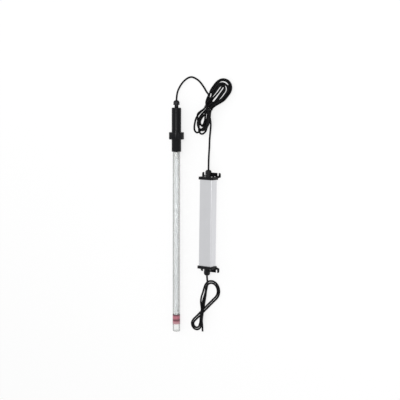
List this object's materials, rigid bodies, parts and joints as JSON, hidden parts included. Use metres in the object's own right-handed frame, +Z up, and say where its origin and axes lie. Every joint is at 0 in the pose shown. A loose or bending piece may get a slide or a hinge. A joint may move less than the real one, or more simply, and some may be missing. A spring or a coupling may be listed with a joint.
{
  "type": "immersion uv clarifier lamp with external ballast",
  "caption": "Submersible ultraviolet lamp in a quartz sleeve, with a screwed head, a corded external ballast that has slotted wall flanges, and hanked cords.",
  "frame": {"origin": "on the table, under the middle of the box of lamp and ballast", "axes": "+Z up from the table, +Y along the lamp from the sleeve's tip to its head, +X from the lamp to the ballast"},
  "size_m": [0.2356, 0.8639, 0.0505],
  "materials": {
    "quartz": "clear fused quartz",
    "lamp_glass": "clear lamp glass",
    "ceramic": "white ceramic",
    "nickel": "nickel wire",
    "slip_ring": "natural nylon",
    "black_plastic": "satin black moulding",
    "black_rubber": "black rubber",
    "cord_rubber": "satin black rubber cord",
    "tie_black": "black tie",
    "aluminium": "satin anodised extrusion",
    "steel": "plated screw",
    "circuit_green": "solder mask",
    "ferrite": "ferrite core",
    "capacitor_blue": "shrink sleeve",
    "film_red": "dipped film capacitor",
    "terminal_grey": "moulded terminal"
  },
  "bodies": {
    "lamp_and_ballast": {"quartz_sleeve": "quartz", "uv_lamp_tube": "lamp_glass", "uv_lamp_base": "ceramic", "uv_lamp_end_cap": "ceramic", "uv_lamp_return_wire": "nickel", "uv_lamp_filament_upper": "nickel", "uv_lamp_filament_lower": "nickel", "sleeve_spacer": "ceramic", "sleeve_socket": "black_plastic", "sleeve_seal": "black_rubber", "head_housing": "black_plastic", "lamp_holder": "ceramic", "head_wires": "black_rubber", "head_gland_body": "black_plastic", "head_gland_seal": "black_rubber", "head_gland_locknut": "black_plastic", "ballast_case": "aluminium", "circuit_board": "circuit_green", "mains_terminal": "terminal_grey", "fuse": "ceramic", "mains_filter_choke": "ferrite", "smoothing_capacitor": "capacitor_blue", "power_transistors": "aluminium", "lamp_inductor": "ferrite", "film_capacitor_1": "film_red", "film_capacitor_2": "film_red", "lamp_terminal": "terminal_grey", "mains_wires": "black_rubber", "lamp_wires": "black_rubber", "lamp_side_cap": "black_plastic", "lamp_side_gasket": "black_rubber", "lamp_side_screw_1": "steel", "lamp_side_screw_2": "steel", "lamp_side_screw_3": "steel", "lamp_side_screw_4": "steel", "lamp_side_gland_body": "black_plastic", "lamp_side_gland_seal": "black_rubber", "lamp_side_gland_locknut": "black_plastic", "mains_side_cap": "black_plastic", "mains_side_gasket": "black_rubber", "mains_side_screw_1": "steel", "mains_side_screw_2": "steel", "mains_side_screw_3": "steel", "mains_side_screw_4": "steel", "mains_side_gland_body": "black_plastic", "mains_side_gland_seal": "black_rubber", "mains_side_gland_locknut": "black_plastic", "lamp_cord_arch": "cord_rubber", "lamp_cord_hank": "cord_rubber", "lamp_cord_drop": "cord_rubber", "hank_tie": "tie_black", "mains_cord_lead": "cord_rubber", "mains_cord_hank": "cord_rubber"},
    "nut_carrier": {"slip_ring": "slip_ring"},
    "union_nut": {"union_nut": "black_plastic"},
    "head_gland_nut": {"head_gland_nut": "black_plastic"},
    "lamp_side_gland_nut": {"lamp_side_gland_nut": "black_plastic"},
    "mains_side_gland_nut": {"mains_side_gland_nut": "black_plastic"}
  },
  "joints": [
    {"name": "union_nut_travel", "type": "slide", "parent": "lamp_and_ballast", "child": "nut_carrier", "axis": [0, -0.9998, -0.0192], "range_m": [0, 0.0121]},
    {"name": "union_nut_turn", "type": "hinge", "parent": "nut_carrier", "child": "union_nut", "pos_m": [-0.07023, 0.2613, 0.02503], "axis": [0, -0.9998, -0.0192], "range_deg": [0, 1080]},
    {"name": "head_gland_turn", "type": "hinge", "parent": "lamp_and_ballast", "child": "head_gland_nut", "pos_m": [-0.07023, 0.37608, 0.02723], "axis": [0, 0.9998, 0.0192], "range_deg": [0, 180]},
    {"name": "lamp_side_gland_turn", "type": "hinge", "parent": "lamp_and_ballast", "child": "lamp_side_gland_nut", "pos_m": [0.05823, 0.15008, 0.019], "axis": [0, 1, 0], "range_deg": [0, 180]},
    {"name": "mains_side_gland_turn", "type": "hinge", "parent": "lamp_and_ballast", "child": "mains_side_gland_nut", "pos_m": [0.05823, -0.17072, 0.019], "axis": [0, -1, 0], "range_deg": [0, 180]}
  ],
  "couplings": [
    {"joint": "union_nut_travel", "follows": "union_nut_turn", "m_per_rad": 0.00063662}
  ]
}
